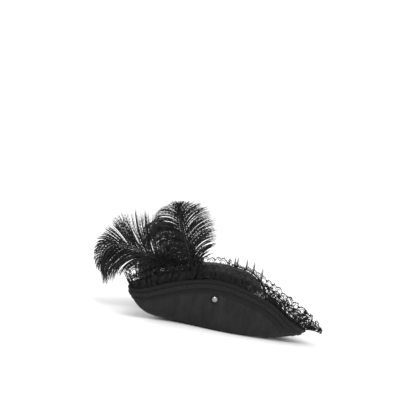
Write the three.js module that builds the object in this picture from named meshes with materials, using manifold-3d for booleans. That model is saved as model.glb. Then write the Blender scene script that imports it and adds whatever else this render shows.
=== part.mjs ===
// A black felt tricorn: crown, cocked brim, edge trim, gathered lace ruffles, rivet studs, a winged cross
// with thorned bar on the crown, a ribbon bow, and a spray of three ostrich plumes that lifts out of a sleeve.
// Millimetres, +Z up, front towards -Y, wearer's right towards -X, origin in the middle of the head opening.
import * as THREE from 'three';
import { mergeVertices } from 'three/addons/utils/BufferGeometryUtils.js';
import Module from 'manifold-3d';

const GAP = 0.35;                            // between neighbouring pieces
const HEAD = { x: 78, y: 99 };               // half axes of the opening inside the sweatband
const SWEATBAND = { thick: 1.5, height: 34 };
const FELT = 2.4;                            // thickness of crown and brim
const BRIM_EDGE = { x: 80.6, y: 101.6, z: 3 }; // inner edge of the brim, at mid thickness
const CROWN = { x: 83.4, y: 104.4 };         // half axes of the crown's foot, outside
const CROWN_PROFILE = [                      // share of the foot's half axes, and height
  [1, 6], [1, 30], [0.975, 60], [0.925, 86], [0.84, 107], [0.7, 122.5], [0.48, 132.5], [0.22, 136.4], [0, 137],
];
const LINING = { thick: 0.8, foot: 36 };
const TRIM = { binding: 6.5, ribbonTop: 7, gimpFoot: 16, ribbonFoot: 27, ribbon: 1, gimp: 1.6, bindingThick: 0.8 };
const LACE = { foot: 8, reach: 38, thick: 2.4 };
const STUD = { radius: 8.4, dome: 5, depth: 39, post: 1.8, hole: 2.3, washer: 5.5 };
const SLEEVE = { at: [-86.4, 22, 62], lean: [0.19, 0.57, 0.8], inner: 3.3, outer: 4.2, down: 11, up: 13 };
const WRAP = { radius: 2.9, down: 8, up: 22 };
const COLUMNS = 40;                          // steps round the crown
const CROWN_ROWS = 9;
const PANEL_ROWS = 7;                        // steps across the brim below its trim
const STEPS_PER_STATION = 2;                 // steps round the brim between two of its stations

// One half of the brim, from the front point round to the middle of the back. Each station has the rim's place,
// the angle on the head ellipse where its profile starts, how far the profile runs out flat, and how it then
// reaches the rim: its lean outwards and its rise.
const BRIM_STATIONS = [
  [0, -204, 28, 0, 60, -24, 16],
  [30, -193, 33, 14, 56, -20, 18],
  [58, -160, 49, 30, 44, -8, 30],
  [76, -116, 78, 48, 32, 3, 46],
  [84, -62, 97, 68, 25, 9, 56],
  [87, 0, 107, 90, 22, 10, 60],
  [93, 48, 102, 105, 24, 9, 58],
  [108, 92, 91, 118, 32, 2, 52],
  [130, 132, 77, 129, 52, -12, 44],
  [149, 158, 67, 136, 74, -22, 40],
  [164, 178, 63, 140, 90, -28, 38],
  [172, 191, 65, 143, 100, -30, 40],
  [158, 195, 68, 146, 88, -24, 42],
  [132, 186, 75, 151, 66, -12, 46],
  [98, 170, 84, 158, 46, -2, 52],
  [60, 156, 91, 166, 34, 5, 55],
  [28, 149, 95, 173.5, 28, 8, 56],
  [0, 147, 96, 180, 26, 8, 56],
];
const BACK = BRIM_STATIONS.length - 1;       // station number of the middle of the back
const ROUND = 2 * BACK;                      // station numbers once round the brim
const CORNER = 11;                           // station number of a back corner

const MATERIALS = {
  felt: { color: 0x262626, roughness: 0.95, metalness: 0 },
  lining: { color: 0x1b1b1c, roughness: 0.6, metalness: 0 },
  leather: { color: 0x1d1b1a, roughness: 0.55, metalness: 0 },
  ribbon: { color: 0x1c1c1c, roughness: 0.7, metalness: 0 },
  braid: { color: 0x303030, roughness: 0.6, metalness: 0 },
  lace: { color: 0x161616, roughness: 0.85, metalness: 0 },
  gunmetal: { color: 0x4a4a4d, roughness: 0.3, metalness: 1 },
  jet: { color: 0x2a2a2d, roughness: 0.25, metalness: 0.8 },
  wire: { color: 0x6d6d70, roughness: 0.4, metalness: 1 },
  quill: { color: 0x2c2926, roughness: 0.5, metalness: 0 },
  plume: { color: 0x141414, roughness: 0.8, metalness: 0 },
};

const group = new THREE.Group();
const manifold = await Module();
manifold.setup();

const vec = (x, y, z) => new THREE.Vector3(x, y, z);
const radians = (degrees) => THREE.MathUtils.degToRad(degrees);
const range = (n) => Array.from({ length: n }, (_, i) => i);
const between = (a, b, n) => range(n + 1).map((i) => a + ((b - a) * i) / n);

function addMesh(name, look, geometry, place) {
  const mesh = new THREE.Mesh(geometry, new THREE.MeshStandardMaterial(MATERIALS[look]));
  mesh.name = name;
  if (place) {
    mesh.position.copy(place.at);
    mesh.quaternion.setFromUnitVectors(vec(0, 1, 0), place.axis);
  }
  group.add(mesh);
  return mesh;
}

// ---- closed solids from rows of points ----

/** Six times the signed volume inside the faces. */
function signedVolume(points, faces) {
  return faces.reduce((sum, [a, b, c]) => {
    const cross = vec(0, 0, 0).crossVectors(points[b], points[c]);
    return sum + points[a].dot(cross);
  }, 0);
}

/** A geometry whose equal points are one, with collapsed faces dropped and every face turned outwards. */
function solid(points, faces) {
  const index = new Map();
  const kept = [];
  const id = points.map((p) => {
    const key = p.toArray().map((c) => c.toFixed(3)).join();
    if (!index.has(key)) {
      index.set(key, kept.length);
      kept.push(p);
    }
    return index.get(key);
  });
  let whole = faces.map((f) => f.map((i) => id[i])).filter(([a, b, c]) => a !== b && b !== c && c !== a);
  if (signedVolume(kept, whole) < 0) whole = whole.map(([a, b, c]) => [c, b, a]);
  const geometry = new THREE.BufferGeometry();
  geometry.setAttribute('position', new THREE.Float32BufferAttribute(kept.flatMap((p) => p.toArray()), 3));
  geometry.setIndex(whole.flat());
  geometry.computeVertexNormals();
  return geometry;
}

/** Closed loops of points joined one to the next: a ring if the last meets the first, else a bar with capped ends. */
function loopSolid(loops, ring = false) {
  const n = loops.length;
  const m = loops[0].length;
  const faces = [];
  for (let i = 0; i < (ring ? n : n - 1); i++) {
    const next = ((i + 1) % n) * m;
    for (let j = 0; j < m; j++) {
      const k = (j + 1) % m;
      faces.push([i * m + j, i * m + k, next + k], [i * m + j, next + k, next + j]);
    }
  }
  if (!ring) {
    const end = (n - 1) * m;
    for (let j = 0; j < m / 2 - 1; j++) {
      const [a, b, c, d] = [j, j + 1, m - 2 - j, m - 1 - j];
      faces.push([c, b, a], [d, c, a], [end + a, end + b, end + c], [end + a, end + c, end + d]);
    }
  }
  return solid(loops.flat(), faces);
}

/** A tube of changing radius along a smooth curve through the given points. */
function tube(points, radii, sides = 6, steps = 8, ring = false) {
  const curve = new THREE.CatmullRomCurve3(points, ring);
  const { tangents, normals, binormals } = curve.computeFrenetFrames(steps, ring);
  const loops = range(ring ? steps : steps + 1).map((i) => {
    const at = curve.getPointAt(i / steps);
    const place = (i / steps) * (radii.length - 1);
    const low = Math.min(Math.floor(place), radii.length - 2);
    const radius = THREE.MathUtils.lerp(radii[low], radii[low + 1], place - low);
    return range(sides).map((j) => {
      const turn = (2 * Math.PI * j) / sides;
      return at.clone()
        .addScaledVector(normals[i], radius * Math.cos(turn))
        .addScaledVector(binormals[i], radius * Math.sin(turn));
    });
  });
  return loopSolid(loops, ring && tangents.length > 0);
}

/** A solid as wide as `wide(i)` says, laid on a surface between two offsets from it. */
function patchSolid(surface, along, wide, inner, outer) {
  return loopSolid(along.map((a) => {
    const across = wide(a);
    const top = across.map((b) => surface(a, b, outer));
    const under = across.map((b) => surface(a, b, inner)).reverse();
    return [...under.reverse(), ...top.reverse()];
  }));
}

// ---- the brim's surface ----

function stationValues(k) {
  if (k < 0) return mirrored(BRIM_STATIONS[-k], 0);
  if (k > BACK) return mirrored(BRIM_STATIONS[2 * BACK - k], 360);
  return BRIM_STATIONS[k];
}

function mirrored([x, y, z, angle, ...rest], turn) {
  return [-x, y, z, turn - angle, ...rest];
}

/** The values at any place between two stations, on a smooth curve through them all. */
function stationAt(place) {
  const k = Math.min(Math.floor(place), BACK - 1);
  const t = place - k;
  const [p, q, r, s] = [k - 1, k, k + 1, k + 2].map(stationValues);
  return q.map((_, i) => 0.5 * (2 * q[i] + (r[i] - p[i]) * t + (2 * p[i] - 5 * q[i] + 4 * r[i] - s[i]) * t * t
    + (3 * q[i] - p[i] - 3 * r[i] + s[i]) * t ** 3));
}

/** The profile from the head to the rim at one place round the brim. */
function brimProfile(u) {
  const place = ((u % ROUND) + ROUND) % ROUND;
  const values = stationAt(place <= BACK ? place : ROUND - place);
  const [x, y, z, angle, run, lean, rise] = place <= BACK ? values : mirrored(values, 360);
  const turn = radians(angle);
  const head = vec(BRIM_EDGE.x * Math.sin(turn), -BRIM_EDGE.y * Math.cos(turn), BRIM_EDGE.z);
  const out = vec(Math.sin(turn) / BRIM_EDGE.x, -Math.cos(turn) / BRIM_EDGE.y, 0).normalize();
  const rim = vec(x, y, z);
  const low = head.clone().addScaledVector(out, run);
  const high = rim.clone().addScaledVector(out, lean).add(vec(0, 0, -rise));
  return new THREE.CubicBezierCurve3(head, low, high, rim);
}

const SMALL = 0.01;

/** The direction square to the brim at one place, towards the crown. */
function brimNormal(u, share) {
  const v = Math.min(Math.max(share, SMALL), 1 - SMALL);
  const round = brimProfile(u + SMALL).getPoint(v).sub(brimProfile(u - SMALL).getPoint(v));
  const profile = brimProfile(u);
  const up = profile.getPoint(v + SMALL).sub(profile.getPoint(v - SMALL));
  return up.cross(round).normalize();
}

/** A point of the brim at a share of the way from head to rim, offset towards the crown. */
function brimPoint(u, share, offset) {
  return brimProfile(u).getPointAt(share).addScaledVector(brimNormal(u, share), offset);
}

/** A point at a depth below the rim, or above it where the depth is negative, offset towards the crown. */
function rimPoint(u, depth, offset) {
  const profile = brimProfile(u);
  const length = profile.getLength();
  if (depth >= 0) return brimPoint(u, 1 - depth / length, offset);
  const up = profile.getTangent(1);
  return profile.getPoint(1).addScaledVector(up, -depth).addScaledVector(brimNormal(u, 1), offset);
}

const roundBrim = between(0, ROUND, ROUND * STEPS_PER_STATION).slice(0, -1);

/** A strip of one section, given as depth and offset pairs, all the way round the rim. */
function rimRing(section) {
  return loopSolid(roundBrim.map((u) => section.map(([depth, offset]) => rimPoint(u, depth, offset))), true);
}

/** The section of a flat strip through the given depths, between two offsets. */
function stripSection(depths, inner, outer) {
  return [...depths.map((d) => [d, outer]), ...[...depths].reverse().map((d) => [d, inner])];
}

// ---- the crown's surface ----

const crownCurve = new THREE.CatmullRomCurve3(CROWN_PROFILE.map(([share, z]) => vec(share, z, 0)));

function crownPoint(angle, share, offset = 0) {
  const at = (turn, v) => {
    const { x: wide, y: z } = crownCurve.getPoint(v);
    return vec(CROWN.x * wide * Math.sin(turn), -CROWN.y * wide * Math.cos(turn), z);
  };
  const turn = radians(angle);
  if (share >= 1) return vec(0, 0, CROWN_PROFILE.at(-1)[1] + offset);
  const v = Math.max(share, SMALL);
  const round = at(turn + SMALL, v).sub(at(turn - SMALL, v));
  const up = at(turn, Math.min(v + SMALL, 1)).sub(at(turn, v - SMALL));
  return at(turn, share).addScaledVector(round.cross(up).normalize(), offset);
}

/** The share of the way up the crown's profile at a height. */
function shareAtHeight(height) {
  const i = CROWN_PROFILE.findIndex(([, z]) => z > height);
  const [[, low], [, high]] = [CROWN_PROFILE[i - 1], CROWN_PROFILE[i]];
  return (i - 1 + (height - low) / (high - low)) / (CROWN_PROFILE.length - 1);
}

/** The outward direction of the crown on its front middle line. */
function frontNormal(share) {
  return crownPoint(0, share, 1).sub(crownPoint(0, share, 0));
}

const roundCrown = between(0, 360, COLUMNS).slice(0, -1);

/** An open dome between two offsets from the crown's outer surface, from one share up to the top. */
function dome(from, outer, inner) {
  const up = [from, ...between(0, 1, CROWN_ROWS).filter((v) => v > from)];
  const path = [...up.map((v) => [v, outer]), ...[...up].reverse().map((v) => [v, inner])];
  return loopSolid(roundCrown.map((angle) => path.map(([v, offset]) => crownPoint(angle, v, offset))), true);
}

// ---- felt body ----

function addCrown() {
  const top = -FELT - 2 * GAP;
  addMesh('crown', 'felt', dome(0, 0, -FELT));
  addMesh('crown_lining', 'lining', dome(shareAtHeight(LINING.foot), top, top - LINING.thick));
  const { thick, height } = SWEATBAND;
  const loops = roundCrown.map((angle) => {
    const turn = radians(angle);
    return [[0, 0], [thick, 0], [thick, height], [0, height]].map(([out, z]) => (
      vec((HEAD.x + out) * Math.sin(turn), -(HEAD.y + out) * Math.cos(turn), z)));
  });
  addMesh('sweatband', 'leather', loopSolid(loops, true));
}

/** A manifold solid of a geometry, after moving it by a matrix. */
function toManifold(geometry, matrix = new THREE.Matrix4()) {
  const bare = geometry.clone().applyMatrix4(matrix);
  bare.deleteAttribute('normal');
  bare.deleteAttribute('uv');
  const merged = mergeVertices(bare, 1e-4);
  return new manifold.Manifold(new manifold.Mesh({
    numProp: 3,
    vertProperties: new Float32Array(merged.attributes.position.array),
    triVerts: new Uint32Array(merged.index.array),
  }));
}

function fromManifold(shape) {
  const { vertProperties, triVerts } = shape.getMesh();
  const geometry = new THREE.BufferGeometry();
  geometry.setAttribute('position', new THREE.BufferAttribute(vertProperties, 3));
  geometry.setIndex(new THREE.BufferAttribute(triVerts, 1));
  geometry.computeVertexNormals();
  return geometry;
}

const STUDS = { left: 5.2, back: BACK, right: ROUND - 5.2 };

/** A stud's place on the brim's middle surface, with the direction outwards. */
function studFrame(u) {
  const profile = brimProfile(u);
  const share = 1 - STUD.depth / profile.getLength();
  return { at: profile.getPointAt(share), axis: brimNormal(u, share).negate() };
}

/** Where the brim's rows lie along its profile: even ones up to the trim, then one at each edge of the trim. */
function brimShares(u) {
  const length = brimProfile(u).getLength();
  const trimFoot = 1 - TRIM.ribbonFoot / length;
  const trim = [TRIM.gimpFoot, TRIM.ribbonTop, 0].map((depth) => 1 - depth / length);
  return [...between(0, trimFoot, PANEL_ROWS), ...trim];
}

function addBrim() {
  const loops = roundBrim.map((u) => {
    const shares = brimShares(u);
    const top = shares.map((v) => brimPoint(u, v, FELT / 2));
    const under = shares.map((v) => brimPoint(u, v, -FELT / 2)).reverse();
    return [...top, ...under];
  });
  let shape = toManifold(loopSolid(loops, true));
  for (const u of Object.values(STUDS)) {
    const { at, axis } = studFrame(u);
    const turn = new THREE.Quaternion().setFromUnitVectors(vec(0, 1, 0), axis);
    const matrix = new THREE.Matrix4().compose(at, turn, vec(1, 1, 1));
    shape = shape.subtract(toManifold(new THREE.CylinderGeometry(STUD.hole, STUD.hole, 4 * FELT, 12), matrix));
  }
  addMesh('brim', 'felt', fromManifold(shape));
}

function addEdgeTrim() {
  const face = FELT / 2 + 1.5 * GAP;
  const cover = face + TRIM.bindingThick;
  const { binding, ribbonTop, ribbonFoot, gimpFoot } = TRIM;
  const over = 2.8;                          // room for the wire under the binding
  addMesh('rim_binding', 'ribbon', rimRing([
    [binding, -cover], [-over - TRIM.bindingThick, -cover], [-over - TRIM.bindingThick, cover], [binding, cover],
    [binding, face], [-over, face], [-over, -face], [binding, -face],
  ]));
  addMesh('rim_wire', 'wire', rimRing([[-0.9, 0], [-1.3, -0.4], [-1.7, 0], [-1.3, 0.4]]));
  const strip = stripSection([ribbonTop, gimpFoot, ribbonFoot], -face - TRIM.ribbon, -face);
  addMesh('trim_ribbon', 'ribbon', rimRing(strip));
  const top = face + TRIM.ribbon + 3 * GAP;
  addMesh('gimp_braid', 'braid', rimRing(stripSection([ribbonTop, gimpFoot], -top - TRIM.gimp, -top)));
}

// ---- lace ----

const LACE_RUNS = {
  left: [0.12, CORNER - 0.65],
  back: [CORNER + 0.65, ROUND - CORNER - 0.65],
  right: [ROUND - CORNER + 0.65, ROUND - 0.12],
};

function addRuffles() {
  const base = FELT / 2 + TRIM.bindingThick + 4.5 * GAP;
  const section = [[LACE.foot, 0], [0, 0], [-0.4 * LACE.reach, 0.6], [-LACE.reach, 2]];
  for (const [side, [from, to]] of Object.entries(LACE_RUNS)) {
    const steps = Math.round((to - from) * STEPS_PER_STATION);
    const loops = between(from, to, steps).map((u) => [
      ...section.map(([depth, out]) => rimPoint(u, depth, base + out + LACE.thick)),
      ...[...section].reverse().map(([depth, out]) => rimPoint(u, depth, base + out)),
    ]);
    addMesh(`lace_ruffle_${side}`, 'lace', loopSolid(loops));
  }
}

function addAppliques() {
  const thick = 0.5;
  const clear = 1.6 * GAP;
  for (const [side, sign] of [['left', 1], ['right', -1]]) {
    const surface = (angle, v, offset) => crownPoint(sign * angle, v, offset);
    const shares = between(1, 5, 4).map((row) => row / CROWN_ROWS);
    const geometry = patchSolid(surface, between(18, 72, 6), () => shares, clear, clear + thick);
    addMesh(`lace_applique_crown_${side}`, 'lace', geometry);
  }
  const face = FELT / 2 + clear;
  const rows = (u) => brimShares(u).slice(1, PANEL_ROWS);
  const geometry = patchSolid(brimPoint, between(-3, 3, 6 * STEPS_PER_STATION), rows, face, face + thick);
  addMesh('lace_applique_brim', 'lace', geometry);
}

// ---- studs ----

function addStuds() {
  const face = FELT / 2;
  const capBase = face + TRIM.bindingThick;
  const washerFoot = face + 1.2;
  const ringProfile = [[STUD.hole, 0], [STUD.washer, 0], [STUD.washer, 1], [STUD.hole, 1], [STUD.hole, 0]];
  const capProfile = [[0, 0], [STUD.radius, 0], ...between(8, 90, 5).map((a) => [
    STUD.radius * Math.cos(radians(a)), STUD.dome * Math.sin(radians(a))])];
  capProfile.at(-1)[0] = 0;
  const lathe = (profile, sides) => new THREE.LatheGeometry(profile.map(([r, h]) => new THREE.Vector2(r, h)), sides);
  for (const [side, u] of Object.entries(STUDS)) {
    const { at, axis } = studFrame(u);
    const place = (out) => ({ at: at.clone().addScaledVector(axis, out), axis });
    const postTop = capBase - GAP;
    const postEnd = washerFoot + 1.4;
    addMesh(`stud_cap_${side}`, 'gunmetal', lathe(capProfile, 18), place(capBase));
    addMesh(`stud_washer_${side}`, 'gunmetal', lathe(ringProfile, 16), place(-washerFoot - 1));
    const post = new THREE.CylinderGeometry(STUD.post, STUD.post, postTop + postEnd, 10);
    addMesh(`stud_post_${side}`, 'gunmetal', post, place((postTop - postEnd) / 2));
  }
}

// ---- ornament on the crown ----

const THORNS = [[0.93, 159], [0.87, 160], [0.785, 161], [0.7, 159], [0.57, 150]]; // share up the crown, height of tip
const BAR_LIFT = 4.3;                        // middle of the ornament's bar above the crown

/** A point over the crown's front middle line: sideways by x, and out by h. */
function overFront(share, x, h) {
  return crownPoint(0, share).addScaledVector(frontNormal(share), h).add(vec(x, 0, 0));
}

function addOrnament() {
  const barShares = between(0.5, 0.93, 6);
  addMesh('ornament_bar', 'jet', tube(barShares.map((v) => overFront(v, 0, BAR_LIFT)), [3.4, 3, 2.4], 6, 10));
  const spike = [[0.965, 2.4], [0.975, 9], [0.985, 19]].map(([v, h]) => overFront(v, 0, h));
  addMesh('ornament_finial', 'jet', tube(spike, [3.6, 1.9, 0.35], 6, 4));
  for (const [side, sign] of [['left', 1], ['right', -1]]) {
    THORNS.forEach(([share, tip], i) => {
      const bend = overFront(share, sign * 22, 4.8);
      const rise = tip - bend.z;
      const upright = [[0.4, 0.5], [1, 1]].map(([part, x]) => bend.clone().add(vec(sign * x, 0, part * rise)));
      const points = [overFront(share, sign * 5.8, 3.8), overFront(share, sign * 14, 4.8), ...upright];
      addMesh(`thorn_${side}_${i + 1}`, 'jet', tube(points, [1.7, 1.4, 0.9, 0.3], 5, 6));
    });
    const surface = (angle, v, offset) => crownPoint(sign * angle, v, offset);
    const rise = (angle) => {
      const out = (angle - 5) / 36;
      const top = 0.415 + 0.03 * Math.sin(Math.PI * out);
      return between(top - 0.075 * (1 - out * out) - 0.02, top, 2);
    };
    addMesh(`cross_wing_${side}`, 'jet', patchSolid(surface, between(5.2, 41, 7), rise, 1.3, 4));
  }
  const bodyShares = between(0.2, 0.43, 5);
  addMesh('cross_body', 'jet', tube(bodyShares.map((v) => overFront(v, 0, 6.2)), [3.2, 4.6, 3.4, 4.8, 2.4], 8, 12));
  const loopShape = between(0, 360, 10).slice(0, -1).map((a) => {
    const [x, y] = [Math.sin(radians(a)), Math.cos(radians(a))];
    return overFront(0.1 + 0.075 * y, (7.5 - 1.5 * y) * x, 2.9);
  });
  addMesh('cross_pendant', 'jet', tube(loopShape, [1.4, 1.4], 6, 24, true));
  addMesh('pendant_drop', 'jet', tube(between(0.05, 0.15, 3).map((v) => overFront(v, 0, 3.2)), [0.8, 2, 0.8], 6, 6));
}

// ---- ribbon bow ----

const BOW = { at: [-4.5, 62, 134.5], tilt: 12, half: 13 };

/** A flat padded form along X through stations of x, width, thickness and lift. */
function ribbonForm(stations) {
  const [, y, z] = BOW.at;
  const across = vec(0, Math.cos(radians(BOW.tilt)), -Math.sin(radians(BOW.tilt)));
  const up = vec(0, Math.sin(radians(BOW.tilt)), Math.cos(radians(BOW.tilt)));
  return loopSolid(stations.map(([x, wide, thick, lift]) => range(8).map((i) => {
    const turn = (Math.PI * (2 * i + 1)) / 8;
    return vec(x + BOW.at[0], y, z)
      .addScaledVector(across, wide * Math.cos(turn))
      .addScaledVector(up, lift + thick * Math.sin(turn));
  })));
}

function addBow() {
  const loop = [[5.4, 5, 2, 1], [14, 10, 3.2, 1.4], [28, 13, 3.4, 1.8], [38, 13, 3, 1.6], [44, 10, 1.5, 1.2]];
  addMesh('bow_loop_left', 'ribbon', ribbonForm(loop));
  addMesh('bow_loop_right', 'ribbon', ribbonForm(loop.map(([x, ...rest]) => [-x, ...rest])));
  const knot = [[-5, 6, 2.4, 1], [-2.5, 6.5, 3.6, 1.2], [2.5, 6.5, 3.6, 1.2], [5, 6, 2.4, 1]];
  addMesh('bow_knot', 'ribbon', ribbonForm(knot));
  const tails = [
    [-49, 11, 0.5, -3.4], [-20, 10, 0.5, -3.2], [0, 8, 0.5, -3.2], [20, 10, 0.5, -3.2], [49, 12, 0.5, -3.4],
  ];
  addMesh('bow_tails', 'ribbon', ribbonForm(tails));
}

// ---- plumes ----

const sleeveAt = vec(...SLEEVE.at);
const sleeveAxis = vec(...SLEEVE.lean).normalize();
const alongSleeve = (s) => sleeveAt.clone().addScaledVector(sleeveAxis, s);

// Each plume lies in a plane of constant x beyond its base. Its shaft's points are (y, z), its base sits off the
// wrap's middle, and over and under give each vane's width and the shares of the shaft between which it runs.
const PLUMES = {
  rear: {
    x: -82, base: [-1.7, 0.4], over: [66, 0.04, 1], under: [56, 0.44, 0.8], reach: 0.35,
    shaft: [[82, 105], [118, 120], [146, 126], [166, 131], [193, 138], [221, 142], [250, 138], [266, 120], [270, 96]],
  },
  front: {
    x: -72, base: [1, 1.5], over: [56, 0.04, 1], under: [56, 0.04, 1], reach: 0.4,
    shaft: [[66, 120], [82, 148], [104, 188], [119, 222], [128, 248]],
  },
  middle: {
    x: -62, base: [1.2, -1.4], over: [52, 0.04, 1], under: [36, 0.04, 0.66], reach: 0.35,
    shaft: [[62, 122], [86, 152], [114, 184], [140, 202], [162, 200], [174, 184]],
  },
};

/** A flat vane on one side of the shaft: the shaft's line, then back along the tips of the barbs. */
function vaneGeometry(shaft, side, [width, from, to], reach) {
  const curve = new THREE.SplineCurve(shaft.map(([y, z]) => new THREE.Vector2(y, z)));
  const thick = 5;
  const shares = between(from, to, 14);
  const edge = (share, out) => {
    const along = curve.getTangent(share);
    const square = new THREE.Vector2(-along.y, along.x).multiplyScalar(side);
    return curve.getPoint(share).addScaledVector(square, out).addScaledVector(along, reach * (out - 2));
  };
  const wide = (s) => Math.sin(Math.PI * (0.12 + (0.83 * (s - from)) / (to - from))) ** 0.7;
  const tips = [...shares].reverse().map((s) => edge(s, 2 + width * wide(s)));
  const outline = [...shares.map((s) => edge(s, 2)), ...tips];
  const geometry = new THREE.ExtrudeGeometry(new THREE.Shape(outline), { depth: thick, bevelEnabled: false });
  const toPlane = new THREE.Matrix4().makeBasis(vec(0, 1, 0), vec(0, 0, 1), vec(1, 0, 0));
  return geometry.translate(0, 0, -thick / 2).applyMatrix4(toPlane);
}

function addPlumes() {
  const { inner, outer, down, up } = SLEEVE;
  const wall = [[inner, -down], [outer, -down], [outer, up], [inner, up], [inner, -down]];
  const sleeve = new THREE.LatheGeometry(wall.map(([r, h]) => new THREE.Vector2(r, h)), 16);
  addMesh('plume_sleeve', 'ribbon', sleeve, { at: sleeveAt, axis: sleeveAxis });
  const wrap = new THREE.CylinderGeometry(WRAP.radius, WRAP.radius, WRAP.up + WRAP.down, 12);
  addMesh('plume_wrap', 'ribbon', wrap, { at: alongSleeve((WRAP.up - WRAP.down) / 2), axis: sleeveAxis });
  for (const [name, plume] of Object.entries(PLUMES)) {
    const [dx, lift] = plume.base;
    const square = vec(0, -sleeveAxis.z, sleeveAxis.y).normalize();
    const start = alongSleeve(WRAP.up + 1.2).addScaledVector(square, lift).add(vec(dx, 0, 0));
    const leave = alongSleeve(WRAP.up + 9).addScaledVector(square, 1.6 * lift).add(vec(1.8 * dx, 0, 0));
    const shaft = plume.shaft.map(([y, z]) => vec(plume.x, y, z));
    addMesh(`plume_${name}_quill`, 'quill', tube([start, leave, ...shaft], [1.1, 1.4, 1.2, 0.9, 0.5], 6, 18));
    for (const [side, sign] of [['over', 1], ['under', -1]]) {
      const vane = vaneGeometry(plume.shaft, sign, plume[side], plume.reach);
      const mesh = addMesh(`plume_${name}_vane_${side}`, 'plume', vane);
      mesh.position.x = plume.x;
    }
  }
}

addCrown();
addBrim();
addEdgeTrim();
addRuffles();
addAppliques();
addStuds();
addOrnament();
addBow();
addPlumes();

export default group;
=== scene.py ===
import bpy
import numpy as np
from mathutils import Matrix, Vector
from numpy import (
    arange, array, broadcast_arrays, broadcast_to, clip, concatenate, cos, cross, exp, gradient,
    hstack, interp, linspace, maximum, minimum, pi, radians, sin, stack, where)


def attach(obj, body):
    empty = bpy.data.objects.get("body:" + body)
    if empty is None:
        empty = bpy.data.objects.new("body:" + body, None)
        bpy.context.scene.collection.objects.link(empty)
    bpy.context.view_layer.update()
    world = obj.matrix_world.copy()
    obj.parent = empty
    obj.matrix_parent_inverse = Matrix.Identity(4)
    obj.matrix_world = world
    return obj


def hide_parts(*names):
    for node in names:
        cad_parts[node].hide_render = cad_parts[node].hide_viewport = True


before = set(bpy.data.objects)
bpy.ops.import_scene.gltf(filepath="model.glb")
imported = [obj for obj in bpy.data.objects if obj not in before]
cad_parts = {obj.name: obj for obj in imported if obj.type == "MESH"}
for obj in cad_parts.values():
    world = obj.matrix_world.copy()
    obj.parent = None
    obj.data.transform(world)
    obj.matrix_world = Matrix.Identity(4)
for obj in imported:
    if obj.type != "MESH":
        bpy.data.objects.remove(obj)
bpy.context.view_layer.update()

MM = 0.001
TAU = 2 * pi
HAT, SPRAY = "hat", "plume_spray"
SIDES = ((1, "left"), (-1, "right"))
ACROSS = array((1.0, 0, 0))  # towards the wearer's left

FELT = 2.4  # thickness of crown and brim
FACE = FELT / 2
HEAD = (78, 99)  # half axes of the opening inside the sweatband
BRIM_EDGE = (80.6, 101.6, 3)  # half axes and height of the brim's inner edge
CROWN = (83.4, 104.4)  # half axes of the crown's foot
CROWN_PROFILE = array([  # share of the foot's half axes, height
    (1, 6), (1, 30), (0.975, 60), (0.925, 86), (0.84, 107), (0.7, 122.5),
    (0.48, 132.5), (0.22, 136.4), (0, 137)])
BINDING, RIBBON_TOP, GIMP, RIBBON_FOOT = 6.5, 7, 12.1, 27  # depths below the rim; the gimp's middle
LACE_FOOT, LACE_HIGH = 8, 47  # how far the lace starts below the rim, and its whole width
LACE_GATHER = 1.5  # flat length of lace per length of rim
LACE_PITCH = 22.0  # length of one scallop
STUD_DEPTH = 39
SLEEVE_AT, SLEEVE_AXIS = array((-86.4, 22, 62)), array((0.19, 0.57, 0.8))

# One half of the brim from the front point to the middle of the back: the rim's place, the angle on the head
# ellipse where the profile starts, how far it runs out flat, and its lean and rise where it meets the rim.
BRIM_STATIONS = array([
    (0, -204, 28, 0, 60, -24, 16),
    (30, -193, 33, 14, 56, -20, 18),
    (58, -160, 49, 30, 44, -8, 30),
    (76, -116, 78, 48, 32, 3, 46),
    (84, -62, 97, 68, 25, 9, 56),
    (87, 0, 107, 90, 22, 10, 60),
    (93, 48, 102, 105, 24, 9, 58),
    (108, 92, 91, 118, 32, 2, 52),
    (130, 132, 77, 129, 52, -12, 44),
    (149, 158, 67, 136, 74, -22, 40),
    (164, 178, 63, 140, 90, -28, 38),
    (172, 191, 65, 143, 100, -30, 40),
    (158, 195, 68, 146, 88, -24, 42),
    (132, 186, 75, 151, 66, -12, 46),
    (98, 170, 84, 158, 46, -2, 52),
    (60, 156, 91, 166, 34, 5, 55),
    (28, 149, 95, 173.5, 28, 8, 56),
    (0, 147, 96, 180, 26, 8, 56)], float)
BACK = len(BRIM_STATIONS) - 1  # station number of the middle of the back
ROUND = 2 * BACK  # station numbers once round
CORNER = 11  # station number of a back corner
STUDS = {"left": 5.2, "back": BACK, "right": ROUND - 5.2}


# ---- meshes ----

def unit(v):
    return v / maximum(np.linalg.norm(v, axis=-1, keepdims=True), 1e-9)


def circle(steps):
    """Even angles once round."""
    return linspace(0, TAU, steps, endpoint=False)


def spokes(angles, side, up):
    """The directions at some angles from one direction towards another."""
    return cos(angles)[:, None] * side + sin(angles)[:, None] * up


def square_to(axis, hint):
    """Two directions square to an axis and to each other."""
    side = unit(cross(axis, hint))
    return side, cross(axis, side)


def ring_faces(rows, sides, closed=False):
    """The quads of a row of rings of points, which may run round to its start."""
    i = arange(rows if closed else rows - 1)[:, None]
    j = arange(sides)
    next_i, next_j = (i + 1) % rows, (j + 1) % sides
    corners = i * sides + j, i * sides + next_j, next_i * sides + next_j, next_i * sides + j
    return stack(corners, -1).reshape(-1, 4)


def ring_part(rings, closed=False):
    """A part from a row of rings of points, capped at both ends unless the row runs round to its start."""
    rows, sides = rings.shape[:2]
    faces = ring_faces(rows, sides, closed)
    if not closed:
        j = arange(sides // 2 - 1)
        cap = stack([j, sides - 1 - j, sides - 2 - j, j + 1], 1)
        faces = concatenate([faces, cap, (cap + (rows - 1) * sides)[:, ::-1]])
    return rings.reshape(-1, 3), faces


def join(parts):
    """One list of points and one of quads from several."""
    points, faces, start = [], [], 0
    for p, f in parts:
        points.append(p)
        faces.append(f + start)
        start += len(p)
    return concatenate(points), concatenate(faces)


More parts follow.
